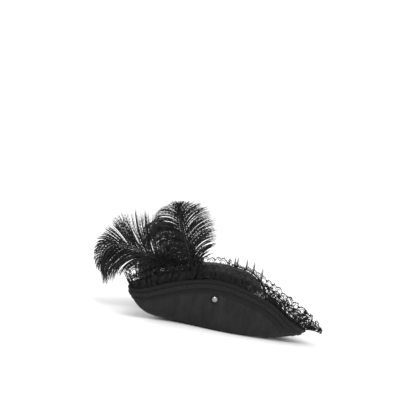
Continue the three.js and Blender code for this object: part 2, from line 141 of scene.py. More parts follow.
def outward(part):
    """The same part, turned inside out if its quads face inwards."""
    points, faces = part
    a, b, c, d = (points[faces[:, k]] for k in range(4))
    volume = np.sum(a * cross(b, c)) + np.sum(a * cross(c, d))
    return (points, faces[:, ::-1]) if volume < 0 else part


def piece(name, part, look, nodes=(), body=HAT, slot="felt", along=None):
    """A mesh object from points in mm and quads, riding a body and standing for its CAD nodes."""
    points, faces = outward(part)
    mesh = bpy.data.meshes.new(name)
    mesh.vertices.add(len(points))
    mesh.vertices.foreach_set("co", (points * MM).astype(np.float32).ravel())
    mesh.loops.add(faces.size)
    mesh.loops.foreach_set("vertex_index", np.ascontiguousarray(faces, np.int32).ravel())
    mesh.polygons.add(len(faces))
    mesh.polygons.foreach_set("loop_start", arange(0, faces.size, 4, dtype=np.int32))
    mesh.polygons.foreach_set("use_smooth", np.ones(len(faces), bool))
    if along is not None:
        values = mesh.attributes.new("along", "FLOAT", "POINT").data
        values.foreach_set("value", along.astype(np.float32).ravel())
    mesh.update(calc_edges=True)
    mesh.validate()
    mesh.materials.append(look.material)
    obj = bpy.data.objects.new(name, mesh)
    bpy.context.scene.collection.objects.link(obj)
    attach(obj, body)
    if nodes:
        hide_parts(*nodes)
    return obj


def two_faced(top, under, closed=True):
    """A part between an upper and a lower sheet of points."""
    return ring_part(concatenate([top, under[:, ::-1]], 1), closed)


def slab(points, thick, closed=False):
    """A closed solid of even thickness from a sheet of points, whose rows may run round to a ring."""
    down = np.roll(points, -1, 0) - np.roll(points, 1, 0) if closed else gradient(points, axis=0)
    normal = unit(cross(down, gradient(points, axis=1))) * thick / 2
    return two_faced(points + normal, points - normal, closed)


def lengths_along(lines):
    """The length run at each point of a line, or of each of a stack of lines."""
    steps = np.linalg.norm(np.diff(lines, axis=-2), axis=-1)
    return concatenate([np.zeros((*steps.shape[:-1], 1)), np.cumsum(steps, -1)], -1)


def smooth_step(a, b, c, d, t):
    """The stretch from b to c of a smooth curve through four points."""
    return 0.5 * (2 * b + (c - a) * t + (2 * a - 5 * b + 4 * c - d) * t**2 + (3 * b - a - 3 * c + d) * t**3)


def smooth_line(points, steps):
    """Even steps along a smooth curve through the points."""
    p = np.asarray(points, float)
    p = concatenate([2 * p[:1] - p[1:2], p, 2 * p[-1:] - p[-2:-1]])
    t = linspace(0, 1, 24, endpoint=False)[:, None]
    curve = concatenate([*(smooth_step(*p[k:k + 4], t) for k in range(len(p) - 3)), p[-2:-1]])
    run = lengths_along(curve)
    even = linspace(0, run[-1], steps + 1)
    return stack([interp(even, run, values) for values in curve.T], 1)


def tube(line, radius, sides=8, closed=False, flat=1.0):
    """A tube round a line, squashed one way by flat. The radius is one number, one per point, or two lists:
    shares of the way and the radius at each."""
    if isinstance(radius, tuple):
        radius = interp(linspace(0, 1, len(line)), *radius)
    ahead = unit(np.roll(line, -1, 0) - np.roll(line, 1, 0)) if closed else unit(gradient(line, axis=0))
    side = np.zeros_like(line)
    first = cross(ahead[0], (0, 0, 1.0))
    side[0] = unit(first if np.linalg.norm(first) > 0.1 else cross(ahead[0], (1.0, 0, 0)))
    for i in range(1, len(line)):
        side[i] = unit(side[i - 1] - ahead[i] * np.dot(side[i - 1], ahead[i]))
    up = cross(ahead, side)
    turn = circle(sides)[None, :, None]
    ring = cos(turn) * side[:, None] + flat * sin(turn) * up[:, None]
    return ring_part(line[:, None] + broadcast_to(radius, len(line))[:, None, None] * ring, closed)


def lathe(profile, at, axis, sides=40):
    """A solid turned about an axis, from (radius, height) pairs that start and end on it."""
    radius, height = array(profile, float).T[..., None, None]
    axis = unit(array(axis, float))
    radial = spokes(circle(sides), *square_to(axis, (0.3, 0.2, 1.0)))
    points = array(at, float) + maximum(radius, 0.01) * radial + height * axis
    return points.reshape(-1, 3), ring_faces(len(profile), sides)


def bead(at, radius, axis=(0, 0, 1), long=1.0, sides=14):
    turn = linspace(-pi / 2, pi / 2, 9)
    return lathe(stack([radius * cos(turn), long * radius * sin(turn)], 1), at, axis, sides)


# ---- the brim's surface ----

MIRROR = array((-1, 1, 1, -1, 1, 1, 1))
WHOLE_TURN = array((0, 0, 0, 360, 0, 0, 0))
# The stations all the way round, from the one before the front point to the one after it.
STATIONS = concatenate([
    BRIM_STATIONS[1:2] * MIRROR, BRIM_STATIONS,
    BRIM_STATIONS[-2:0:-1] * MIRROR + WHOLE_TURN, BRIM_STATIONS[:2] + WHOLE_TURN])


def profile_points(u):
    """The four control points of the brim's profile at each place round it."""
    place = np.mod(u, ROUND)
    k = minimum(place.astype(int), ROUND - 1)
    values = smooth_step(*(STATIONS[k + n] for n in range(4)), (place - k)[:, None])
    angle, reach, lean, rise = values[:, 3:].T[..., None]
    turn = radians(angle)
    across, level = array(((1, 0, 0), (0, -1, 0))), array((0, 0, 1))
    head = hstack([sin(turn), cos(turn)]) * BRIM_EDGE[:2] @ across + level * BRIM_EDGE[2]
    out = unit(hstack([sin(turn), cos(turn)]) / BRIM_EDGE[:2] @ across)
    rim = values[:, :3]
    return stack([head, head + out * reach, rim + out * lean - level * rise, rim], 1)


def bezier(p, t):
    a, b, c, d = (p[:, None, k] for k in range(4))
    t = t[..., None]
    return a * (1 - t)**3 + 3 * b * t * (1 - t)**2 + 3 * c * t**2 * (1 - t) + d * t**3


def bezier_slope(p, t):
    a, b, c, d = (p[:, None, k] for k in range(4))
    t = t[..., None]
    return (b - a) * (1 - t)**2 + 2 * (c - b) * t * (1 - t) + (d - c) * t**2


def brim_grid(u, depth, offset=0.0, share=False):
    """Points of the brim for each u, at depths below the rim (or shares of the way from head to rim) and an
    offset towards the crown. A negative depth goes on past the rim along its slope."""
    u = np.asarray(u, float)
    p = profile_points(u)
    t = broadcast_to(linspace(0, 1, 65), (len(u), 65))
    run = lengths_along(bezier(p, t))
    length = run[:, -1:]
    depth = broadcast_to(depth, (len(u), np.shape(depth)[-1]))
    reach = depth * length if share else length - depth
    at = stack([interp(reach[i], run[i], t[i]) for i in range(len(u))])
    up = unit(bezier_slope(p, at))
    step = 0.01
    around = bezier(profile_points(u + step), at) - bezier(profile_points(u - step), at)
    normal = unit(cross(up, around))
    past = maximum(reach - length, 0)[..., None]
    return bezier(p, at) + up * past + normal * np.asarray(offset, float)[..., None]


class Rim:
    """A fine table of the rim: place, upward slope, direction to the crown and direction along it."""
    u = linspace(0, ROUND, 1500)
    foot = brim_grid(u, [0.0])[:, 0]
    up = unit(brim_grid(u, [-10.0])[:, 0] - foot)
    inward = unit(brim_grid(u, [0.0], 1.0)[:, 0] - foot)
    along = unit(cross(inward, up))
    run = lengths_along(foot)
    length = run[-1]

    @classmethod
    def at(cls, run):
        return [stack([interp(run, cls.run, values) for values in table.T], -1)
                for table in (cls.foot, cls.up, cls.inward, cls.along)]

    @classmethod
    def run_at(cls, u):
        return interp(u, cls.u, cls.run)


class BrimTable:
    """A table of the brim's middle surface over some places and depths, for many scattered points."""

    def __init__(self, u, depth):
        self.axes = u, depth
        self.foot = brim_grid(u, depth)
        self.inward = brim_grid(u, depth, 1.0) - self.foot

    def at(self, u, depth, offset):
        """Points at places round the rim and depths below it, with offsets towards the crown."""
        u, depth, offset = broadcast_arrays(u, depth, offset)
        x, y = (interp(value, axis, arange(len(axis))) for value, axis in zip((u, depth), self.axes))
        i, j = (minimum(k.astype(int), len(axis) - 2) for k, axis in zip((x, y), self.axes))
        a, b = (x - i)[:, None], (y - j)[:, None]

        def pick(table):
            here = table[i, j] * (1 - a) + table[i + 1, j] * a
            deeper = table[i, j + 1] * (1 - a) + table[i + 1, j + 1] * a
            return here * (1 - b) + deeper * b
        return pick(self.foot) + unit(pick(self.inward)) * offset[:, None]


# ---- the crown's surface ----

CROWN_CURVE = smooth_line(CROWN_PROFILE, 400)
CROWN_SHARES = linspace(0, 1, len(CROWN_CURVE))


def crown_share(height):
    """The share up the crown's profile at a height."""
    return interp(height, CROWN_CURVE[:, 1], CROWN_SHARES)


def crown_points(angle, share, offset=0.0):
    """Points of the crown at an angle from the front in degrees and a share of the way up its profile."""
    angle, share, offset = broadcast_arrays(np.asarray(angle, float), share, offset)

    def at(turn, v):
        wide, z = (interp(v, CROWN_SHARES, values) for values in CROWN_CURVE.T)
        return stack([CROWN[0] * wide * sin(turn), -CROWN[1] * wide * cos(turn), z], -1)
    turn = radians(angle)
    step = 0.004
    v = clip(share, step, 1 - step)
    around = at(turn + 0.01, v) - at(turn - 0.01, v)
    up = at(turn, v + step) - at(turn, v - step)
    return at(turn, share) + unit(cross(around, up)) * offset[..., None]


def over_front(height, x, lift):
    """Points x mm sideways of the crown's front middle line and lift mm off it, at heights on that line."""
    foot, above = (crown_points(0, crown_share(height), offset) for offset in (0, 1.0))
    return foot + (above - foot) * lift + np.multiply.outer(x, ACROSS)


# ---- materials ----

COLOUR, ROUGH = "Base Color", "Roughness"
NAP = (1, 1, 0.3)  # stretches a noise upwards


def rgba(value):
    """A colour from three numbers, or a grey from one."""
    return (*broadcast_to(value, 3).tolist(), 1)


class Look:
    """A Principled material in object space. A blend is a socket, a noise, a low and a high value, and the
    stops of the ramp between them. A bump is a noise, a distance in metres and a strength. A noise is its
    scale, detail, roughness and stretch."""

    def __init__(self, name, colour, rough, blends=(), bumps=(), **sockets):
        self.material = bpy.data.materials.new(name)
        self.material.use_nodes = True
        self.tree = self.material.node_tree
        self.shader = self.tree.nodes["Principled BSDF"]
        self.coords = self.node("ShaderNodeTexCoord").outputs["Object"]
        sockets.update({COLOUR: rgba(colour), ROUGH: rough})
        for socket, value in sockets.items():
            self.shader.inputs[socket.replace("_", " ")].default_value = value
        for socket, noise, *values in blends:
            self.blend(socket, self.noise(*noise), *values)
        for noise, distance, strength in bumps:
            self.bump(self.noise(*noise), distance, strength)

    def node(self, kind, links=(), **values):
        node = self.tree.nodes.new(kind)
        for key, value in values.items():
            if key in node.inputs:
                node.inputs[key].default_value = value
            else:
                setattr(node, key, value)
        for socket, source in dict(links).items():
            self.tree.links.new(source, node.inputs[socket])
        return node

    def noise(self, scale, detail, rough=0.6, stretch=(1, 1, 1)):
        mapped = self.node("ShaderNodeMapping", {"Vector": self.coords}, Scale=stretch)
        return self.node("ShaderNodeTexNoise", {"Vector": mapped.outputs[0]},
                         Scale=scale, Detail=detail, Roughness=rough).outputs[0]

    def along(self):
        """The number that a piece keeps at each of its points."""
        return self.node("ShaderNodeAttribute", attribute_name="along").outputs["Fac"]

    def ribs(self, pitch):
        """A sine along pieces whose points count millimetres."""
        angle = self.node("ShaderNodeMath", {0: self.along()}, operation="MULTIPLY")
        angle.inputs[1].default_value = TAU / pitch
        return self.node("ShaderNodeMath", {0: angle.outputs[0]}, operation="SINE").outputs[0]

    def blend(self, socket, texture, low, high, start=0.3, end=0.7):
        """Drives a socket between two values, or two colours, by a texture."""
        ramp = self.node("ShaderNodeValToRGB", {"Fac": texture})
        for stop, place, value in zip(ramp.color_ramp.elements, (start, end), (low, high)):
            stop.position = place
            stop.color = rgba(value)
        self.tree.links.new(ramp.outputs[0], self.shader.inputs[socket])

    def bump(self, height, distance, strength):
        links = {"Height": height}
        if self.shader.inputs["Normal"].is_linked:
            links["Normal"] = self.shader.inputs["Normal"].links[0].from_socket
        node = self.node("ShaderNodeBump", links, Distance=distance, Strength=strength)
        self.tree.links.new(node.outputs[0], self.shader.inputs["Normal"])


FELT_LOOK = Look(
    "wool_felt", (0.012, 0.012, 0.0125), 0.95,
    [(COLOUR, (60, 8, 0.78, NAP), (0.0065, 0.0065, 0.0067), (0.018, 0.018, 0.0184), 0.34, 0.66)],
    [((420, 4), 0.0006, 0.7), ((1500, 3, 0.7, NAP), 0.00025, 0.7)],
    Sheen_Weight=0.07, Sheen_Roughness=0.5, Sheen_Tint=(0.55, 0.55, 0.57, 1), Specular_IOR_Level=0.3)

LINING_LOOK = Look(
    "satin_lining", (0.010, 0.010, 0.011), 0.42, [(ROUGH, (900, 2, 0.5, (1, 1, 6)), 0.32, 0.5)],
    [((1400, 2, 0.5, (1, 1, 8)), 0.0002, 0.5)], Sheen_Weight=0.08)

LEATHER_LOOK = Look(
    "sweatband_leather", (0.02, 0.018, 0.017), 0.5,
    [(COLOUR, (45, 4), (0.014, 0.0125, 0.012), (0.026, 0.023, 0.021)), (ROUGH, (80, 3), 0.42, 0.62)],
    Coat_Weight=0.08)
LEATHER_GRAIN = LEATHER_LOOK.node("ShaderNodeTexVoronoi", {"Vector": LEATHER_LOOK.coords}, Scale=700)
LEATHER_LOOK.bump(LEATHER_GRAIN.outputs["Distance"], 0.0003, 0.6)

RIBBON_LOOK = Look(
    "grosgrain_ribbon", 0.0032, 0.6, [(COLOUR, (90, 4), 0.0024, 0.00432), (ROUGH, (500, 2), 0.48, 0.66)],
    Sheen_Weight=0.02, Sheen_Roughness=0.4, Specular_IOR_Level=0.24)
RIBBON_LOOK.bump(RIBBON_LOOK.ribs(1.1), 0.00022, 0.8)

BRAID_LOOK = Look(
    "rayon_braid", (0.009, 0.009, 0.0092), 0.4,
    [(COLOUR, (700, 3), (0.004, 0.004, 0.0041), (0.015, 0.015, 0.0155)), (ROUGH, (300, 2), 0.34, 0.55)],
    [((2600, 2), 0.00015, 0.8)], Sheen_Weight=0.03, Sheen_Roughness=0.3, Specular_IOR_Level=0.3)

LACE_LOOK = Look(
    "cotton_lace", 0.005, 0.85, [(COLOUR, (260, 3), 0.0035, 0.008)], [((3000, 2), 0.00015, 0.7)],
    Sheen_Weight=0.04, Sheen_Roughness=0.5, Specular_IOR_Level=0.2)

CORD_LOOK = Look(
    "corded_lace", 0.01, 0.42,
    [(COLOUR, (160, 3), 0.005, (0.019, 0.019, 0.0195)), (ROUGH, (300, 2), 0.32, 0.55)],
    [((3000, 2), 0.0002, 0.8)], Sheen_Weight=0.15, Sheen_Roughness=0.3)

JET_LOOK = Look(
    "blackened_silver", (0.08, 0.08, 0.083), 0.24,
    [(COLOUR, (420, 4), (0.07, 0.07, 0.072), (0.27, 0.27, 0.278), 0.34, 0.72), (ROUGH, (500, 3), 0.14, 0.3)],
    [((1300, 3), 0.0001, 0.4)], Metallic=0.9, Coat_Weight=0.3)

# Painted light on each stud: the colour is lighter in the middle of the dome as a painted highlight and turns
# dark towards its foot as painted shade in the crease round it. along counts outwards from its middle.
GUNMETAL_LOOK = Look(
    "gunmetal", (0.15, 0.15, 0.154), 0.22, [(ROUGH, (700, 3), 0.16, 0.24)], [((1500, 2), 0.00001, 0.2)],
    Metallic=1.0)
GUNMETAL_LOOK.blend(COLOUR, GUNMETAL_LOOK.along(), (0.27, 0.27, 0.275), 0.012, 0.5, 0.9)

WIRE_LOOK = Look("spring_wire", (0.35, 0.35, 0.36), 0.35, [(ROUGH, (600, 2), 0.28, 0.45)], Metallic=1.0)

QUILL_LOOK = Look(
    "dyed_quill", (0.02, 0.018, 0.016), 0.4,
    [(COLOUR, (150, 3), (0.011, 0.01, 0.009), (0.036, 0.032, 0.028))],
    [((1200, 2), 0.0001, 0.5)], Coat_Weight=0.2)

PLUME_LOOK = Look(
    "ostrich_barbs", 0.004, 0.4,
    [(COLOUR, (160, 4), 0.001, (0.022, 0.022, 0.0225), 0.44, 0.68), (ROUGH, (400, 2), 0.25, 0.46)],
    [((2600, 2), 0.0002, 0.6)], Sheen_Weight=0.02, Sheen_Roughness=0.3, Specular_IOR_Level=0.32)


# ---- felt body ----

def gentle_waves(points, size, length):
    """A slow unevenness of hand-blocked felt: one number per point."""
    x, y, z = (points[..., k] / length for k in range(3))
    return size * (sin(2.1 * x + 1.3 * z) * cos(1.7 * y - 0.6) + 0.5 * sin(3.7 * y + 2.9 * z + 1))


def degrees_round(steps):
    return linspace(0, 360, steps, endpoint=False)[:, None]


def make_crown():
    angle = degrees_round(180)
    share = array([0, 0.004, *linspace(0.02, 0.992, 56), 1])
    top = crown_points(angle, share, gentle_waves(crown_points(angle, share), 0.35, 30))
    under = crown_points(angle, share, 0.2 - FELT)
    piece("crown_felt", two_faced(top, under), FELT_LOOK, ["crown"])


def make_lining():
    """A thin lining inside the crown, gathered in even folds that die out at both ends."""
    folds, fold, gap = 36, 0.45, 4.2
    angle = degrees_round(216)
    share = linspace(crown_share(35.5), 0.992, 26)
    middle = sin(pi * (share - share[0]) / np.ptp(share)) ** 0.5
    sheet = crown_points(angle, share, -gap - fold * sin(radians(angle) * folds) * middle)
    piece("satin_lining", slab(sheet, 0.5, closed=True), LINING_LOOK, ["crown_lining"], slot="lining")


def oval(angle, out, z):
    turn = radians(angle)
    return stack(broadcast_arrays((HEAD[0] + out) * sin(turn), -(HEAD[1] + out) * cos(turn), z), -1)


def stitches(name, line_at, count, size, look, slot):
    """A row of short raised threads; line_at gives points and outward directions from shares of the row."""
    bow = array((-0.15, 0.75, 1.0, 0.75, -0.15))[:, None]
    radius = array((0.5, 0.9, 1, 0.9, 0.5)) * size
    parts = []
    for i in range(count):
        points, out = line_at((i + linspace(0.14, 0.86, 5)) / count)
        parts.append(tube(points + out * size * bow, radius, 6))
    piece(name, join(parts), look, slot=slot)


def make_sweatband():
    angle = degrees_round(240)
    z = linspace(0.35, 33.7, 22)
    swell = 0.75 + 0.25 * sin(pi * z / 34) + 0.12 * sin(radians(angle) * 9 + z / 7)
    band = slab(oval(angle, swell, z), 0.9, closed=True)
    piece("sweatband_leather", band, LEATHER_LOOK, ["sweatband"], slot="leather")

    def seam(shares):
        points = oval(360 * shares, 0.42, 30.5)
        return points, -unit(points * (1, 1, 0))
    stitches("sweatband_stitching", seam, count=168, size=0.26, look=LACE_LOOK, slot="lace")


def make_brim():
    u = linspace(0, ROUND, 340, endpoint=False)
    share = 1 - (1 - linspace(0, 1, 38)) ** 1.15
    offset = gentle_waves(brim_grid(u, share, share=True), 0.3, 34) * sin(pi * share)
    round_edge = np.sqrt(clip(1 - (clip(share - 0.985, 0, 1) / 0.0151) ** 2, 0.04, 1))
    top, under = (brim_grid(u, share, offset + face * round_edge, share=True) for face in (FACE, -FACE))
    piece("brim_felt", two_faced(top, under), FELT_LOOK, ["brim"])


# ---- edge trim ----

RIBBON_BACK, RIBBON_OUT = -1.75, -2.45  # offsets of the ribbon band's two faces
RIM_TABLE = BrimTable(linspace(0, ROUND, 1600), linspace(6, 28, 12))


def rim_section(steps, section, ripple=0.0):
    """A closed section, given as depths and offsets, all round the rim, and the length run at its points."""
    u = linspace(0, ROUND, steps, endpoint=False)
    depth, offset = array(section, float).T
    points = brim_grid(u, depth, offset + ripple * sin(u * 23.0)[:, None] * np.sign(offset))
    return ring_part(points, closed=True), np.repeat(Rim.run_at(u), len(depth))


def make_binding():
    turn = linspace(-pi / 2, pi / 2, 9)
    over = [(-1.2 - 1.7 * cos(a), 2.35 * sin(a)) for a in turn]
    back = [(-1.0 - 1.0 * cos(a), 1.65 * sin(a)) for a in turn[::-1]]
    foot = [(BINDING - 0.3, 2.3), (BINDING, 2.0), (BINDING - 0.3, 1.7)]
    leg = [(1, 2.3), (3, 2.3), (5, 2.3), *foot, (3, 1.65)]
    other_leg = [(depth, -offset) for depth, offset in leg[::-1]]
    part, along = rim_section(620, over + leg + back + other_leg, 0.12)
    piece("rim_binding_ribbon", part, RIBBON_LOOK, ["rim_binding"], slot="ribbon", along=along)


def make_wire():
    radius, above = 0.45, 1.3
    section = [(radius * cos(a) - above, radius * sin(a)) for a in circle(8)]
    piece("rim_spring_wire", rim_section(500, section)[0], WIRE_LOOK, ["rim_wire"], slot="wire")


def make_trim_ribbon():
    foot = RIBBON_FOOT
    hem = [(foot, RIBBON_BACK), (foot + 0.25, -2.1), (foot, -2.6), (foot - 1, -2.7)]
    face = [(depth, RIBBON_OUT) for depth in range(24, 8, -3)]
    back = [(RIBBON_TOP, -2.5), *((depth, RIBBON_BACK) for depth in (RIBBON_TOP, 15, 22))]
    part, along = rim_section(620, hem + face + back, 0.08)
    piece("trim_grosgrain", part, RIBBON_LOOK, ["trim_ribbon"], slot="ribbon", along=along)


def rim_path(run, depth, lift):
    """Points over the rim's outer face by length along it, depth below it and lift off the felt's middle."""
    return RIM_TABLE.at(interp(run, Rim.run, Rim.u), depth, -lift)


def twisted_cord(depth, lift, radius, pitch, strands=2, step=1.0):
    """Strands wound round each other along the whole rim, at a depth on its outer face."""
    turns = round(Rim.length / pitch)
    run = linspace(0, Rim.length, int(Rim.length / step), endpoint=False)
    parts = []
    for k in range(strands):
        angle = TAU * (turns * run / Rim.length + k / strands)
        line = rim_path(run, depth + radius * cos(angle), lift + radius * sin(angle))
        parts.append(tube(line, 0.98 * radius, 5, closed=True))
    return join(parts)


def make_gimp():
    """A flat braid: two pairs of crossing waves between a fine cord on either side."""
    half, swing, wave = 3.5, 2.3, 9.5
    waves = round(Rim.length / wave)
    run = linspace(0, Rim.length, waves * 12, endpoint=False)
    parts = [twisted_cord(GIMP + side * half, 3.5, 0.5, 4.0) for side in (-1, 1)]
    for k in range(4):
        angle = TAU * (waves * run / Rim.length + (k % 2) / 2 + (k // 2) * 0.09)
        line = rim_path(run, GIMP + swing * sin(angle), 3.65 + 0.4 * cos(2 * angle + pi * (k % 2)))
        parts.append(tube(line, 0.62, 6, closed=True))
    piece("gimp_plait", join(parts), BRAID_LOOK, ["gimp_braid"], slot="braid")


def make_trim_details():
    """The running stitches and the thin corded edge of the ribbon band."""
    run = linspace(0, Rim.length, 1500, endpoint=False)
    cord = tube(rim_path(run, RIBBON_FOOT - 0.6, 2.5), 0.5, 6, closed=True)
    piece("trim_corded_edge", cord, BRAID_LOOK, slot="braid")

    def seam(shares):
        points, off = (rim_path(shares * Rim.length, RIBBON_FOOT - 2.8, lift) for lift in (-RIBBON_OUT, 4.0))
        return points, unit(off - points)
    stitches("trim_stitching", seam, count=380, size=0.24, look=BRAID_LOOK, slot="braid")


# ---- lace ----

PLEAT = 25  # flat length of lace in one pleat
PLEAT_SWING, LACE_OFF = 4.6, 4.1  # half depth of a pleat at its edge, and the lace's distance from the brim
POINT_SWING, POINT_RISE, POINT_LEAN = 4.0, 2.8, radians(32)  # more swing, rise and lean outwards at the front


def arc(x, y, rx, ry, start, end, steps):
    turn = radians(linspace(start, end, steps + 1))
    return stack([x + rx * cos(turn), y + ry * sin(turn)], 1)


def petal(x, y, angle, long, wide, steps=10):
    """A closed pointed loop that starts and ends at (x, y)."""
    t = linspace(0, TAU, steps + 1)
    flat = stack([long * (1 - cos(t)) / 2, wide * sin(t) * (1 - cos(t)) / 2], 1)
    c, s = cos(angle), sin(angle)
    return flat @ ((c, s), (-s, c)) + (x, y)


def vein(start, angle, long, steps):
    return linspace(start, start + long * array((cos(angle), sin(angle))), steps)


def flower(x, y, size, petals, cord, turn):
    """Outlined petals with a filled middle vein each, round a small ring."""
    lines = []
    for k in range(petals):
        angle = turn + TAU * k / petals
        lines.append((petal(x, y, angle, size, 0.34 * size), cord))
        lines.append((vein((x, y), angle, 0.72 * size, 4), 1.25 * cord))
    lines.append((arc(x, y, 0.2 * size, 0.2 * size, 0, 360, 8), cord))
    return lines


def spray(points, cord, leaves, size):
    """A curved stem with pairs of filled leaves."""
    line = smooth_line(points, 14)
    ahead = unit(gradient(line, axis=0))
    lines = [(line, cord)]
    for i in linspace(3, 13, leaves).astype(int):
        for side in (-0.9, 0.9):
            angle = np.arctan2(ahead[i][1], ahead[i][0]) + side
            lines.append((petal(*line[i], angle, size, 0.36 * size, 8), 0.8 * cord))
            lines.append((vein(line[i], angle, 0.7 * size, 3), cord))
    return lines


def net(x0, x1, y0, y1, cell, cord):
    """Hexagonal net: zigzag threads that touch their neighbours at every other bend."""
    steps = max(2, round((y1 - y0) / (0.6 * cell)))
    y = linspace(y0, y1, steps + 1)
    swing = where(arange(steps + 1) % 4 < 2, 0.25, -0.25) * cell
    return [(stack([x0 + (k + 0.5) * cell + (swing if k % 2 else -swing), y], 1), cord)
            for k in range(max(1, round((x1 - x0) / cell)))]


def threads(lines):
    """Closed flat threads in (along, up, off the cloth) coordinates, from (points, half width) pairs."""
    parts = []
    for line, wide in lines:
        ahead = unit(gradient(line, axis=0))
        side = stack([-ahead[:, 1], ahead[:, 0]], 1) * wide
        thick = np.full((len(line), 1), 0.55 * min(wide, 0.6))
        ring = [(line + side, 0 * thick), (line, thick), (line - side, 0 * thick), (line, -thick)]
        parts.append(ring_part(stack([hstack(corner) for corner in ring], 1)))
    return join(parts)


def lace_repeat():
    """One scallop of the lace, foot at 0: bands, net, a flower, leaves, and a corded edge with picots."""
    w, fine = LACE_PITCH, 0.42
    lines = [(linspace((0, h), (w, h), 8), cord) for h, cord in ((1.2, 1.1), (5.0, 0.5), (9.8, 0.5))]
    lines.append((stack([linspace(0, w, 13), 7.4 + 1.7 * (-1.0) ** arange(13)], 1), fine))
    lines += net(0, w, 10, 34, 3.7, 0.27)
    lines += flower(w / 2, 25.0, 7.6, 6, 0.72, 0.3) + flower(0.0, 16.0, 4.6, 5, 0.6, 0.9)
    lines += spray([(w / 2, 17.5), (w * 0.40, 13.5), (w * 0.46, 10)], 0.6, 2, 4.0)
    for side in (-1, 1):
        stem = ((0.1, 18), (0.34, 22), (0.49, 31))
        lines += spray([(w * (0.5 + out * side), h) for out, h in stem], 0.65, 3, 4.2)

    edge = w / 2, LACE_HIGH - 13, w / 2, 11
    inner_edge = *edge[:2], w / 2 - 4.4, 6.4
    lines += [(arc(*edge, 180, 0, 18), 1.05), (arc(*inner_edge, 180, 0, 14), 0.6)]
    for turn in linspace(156, 24, 6):
        at, inner = (arc(*line, turn, turn, 0)[0] for line in (edge, inner_edge))
        lines.append((arc(at[0], at[1] + 1.1, 1.4, 1.4, 0, 360, 8), fine))
        lines.append((linspace(inner, at, 3), fine))
    return threads(lines)


def tile(part, count, pitch):
    """Copies of a part side by side."""
    points, faces = part
    return join([(points + (k * pitch, 0, 0), faces) for k in range(count)])


def gathered(points, start, end, flat, seed):
    """Lays flat lace along the rim from one length to another, in uneven pleats that open towards its edge.
    Near the front point the pleats are deeper and the lace leans out."""
    rng = np.random.default_rng(seed)
    knots = np.cumsum(rng.uniform(0.45, 1.7, round(flat / PLEAT) + 2))
    knots = (knots - knots[0]) / (knots[-1] - knots[0]) * flat
    s, h, off = points.T
    phase = interp(s, knots, arange(len(knots))) * TAU
    deep = interp(s, knots, rng.uniform(0.35, 1.3, len(knots)))
    lean = interp(s, knots, rng.normal(0, 1.0, len(knots)))
    droop = interp(s, knots, rng.uniform(-2.0, 2.6, len(knots)))
    grow = clip((h - 2) / (LACE_HIGH - 2), 0, 1) ** 0.8
    place = start + (end - start) * s / flat
    point = exp(-(minimum(place, Rim.length - place) / 40) ** 2)
    droop += (POINT_RISE - droop) * point
    swing = 0.5 + (PLEAT_SWING + POINT_SWING * point) * deep * grow
    run = place - 0.5 * swing * sin(2 * phase)
    foot, up, inward, along = Rim.at(clip(run, start, end))
    away = LACE_OFF + swing * sin(phase) + off + lean * 2.2 * grow
    rise = (h - LACE_FOOT) * (1 - 0.05 * grow) + droop * grow
    lean_out = POINT_LEAN * exp(-(minimum(run, Rim.length - run) / 34) ** 2) * grow
    c, s = cos(lean_out), sin(lean_out)
    away, rise, past = away * c - rise * s, rise * c + away * s, run - clip(run, start, end)
    return foot + up * rise[:, None] + inward * away[:, None] + along * past[:, None]


def make_ruffles():
    runs = {"left": (0, CORNER), "back": (CORNER, ROUND - CORNER), "right": (ROUND - CORNER, ROUND)}
    repeat = lace_repeat()
    for seed, (side, corners) in enumerate(runs.items(), 11):
        start, end = Rim.run_at(corners) + (0.3, -0.3)
        count = round((end - start) * LACE_GATHER / LACE_PITCH)
        flat = count * LACE_PITCH
        points, faces = tile(repeat, count, LACE_PITCH)
        placed = gathered(points, start, end, flat, seed)
        ruffle = piece(f"lace_{side}", (placed, faces), LACE_LOOK, [f"lace_ruffle_{side}"], slot="lace")


def lace_motif():
    """A branch of flowers and leaves on a bit of net, 66 wide and 84 high, about its middle line."""
    lines = spray([(-20, 2), (-8, 22), (6, 40), (2, 60), (-8, 78)], 1.0, 5, 9.0)
    lines += spray([(-8, 22), (-22, 34), (-26, 50)], 0.65, 3, 7.5)
    lines += spray([(6, 40), (20, 46), (27, 60)], 0.65, 3, 7.5)
    lines += spray([(-16, 10), (4, 8), (20, 16), (28, 30)], 0.65, 4, 7.5)
    flowers = ((-2, 50, 12, 7), (18, 26, 10, 6), (-20, 44, 8, 6), (22, 62, 7, 5), (-8, 76, 7, 6))
    for x, y, size, petals in flowers:
        lines += flower(x, y, size, petals, 0.8, 0.2 + x)
    cell = 3.4
    for x in arange(-27, 28, cell):
        lines += net(x, x + cell, 4 + 0.006 * x * x, 74 - 0.045 * x * x, cell, 0.17)
    return threads(lines)


def make_crown_lace():
    """A branch on each flank of the crown, centred a little forward."""
    points, faces = lace_motif()
    for side, word in SIDES:
        across, up, off = (points * (side, 1, 1)).T
        placed = crown_points(side * (45 + across / 94 * 57.3), crown_share(30 + up), 0.75 + off * 0.55)
        lace = piece(f"crown_lace_{word}", (placed, faces), CORD_LOOK,
                     [f"lace_applique_crown_{word}"], slot="lace")


def make_brim_lace():
    """The same branch twice, laid flat inside the front point of the brim."""
    points, faces = lace_motif()
    table = BrimTable(linspace(-3.4, 3.4, 120), linspace(8, 92, 40))
    parts = []
    for side in (-1, 1):
        across, up, off = (points * (side, 1, 1)).T
        depth = clip(78 - 0.78 * up, 12, 90)
        parts.append((table.at(side * (1.5 + across / 66 * 2.7), depth, FACE + 0.5 + off * 0.5), faces))
    lace = piece("brim_lace", join(parts), CORD_LOOK, ["lace_applique_brim"], slot="lace")


# ---- studs ----

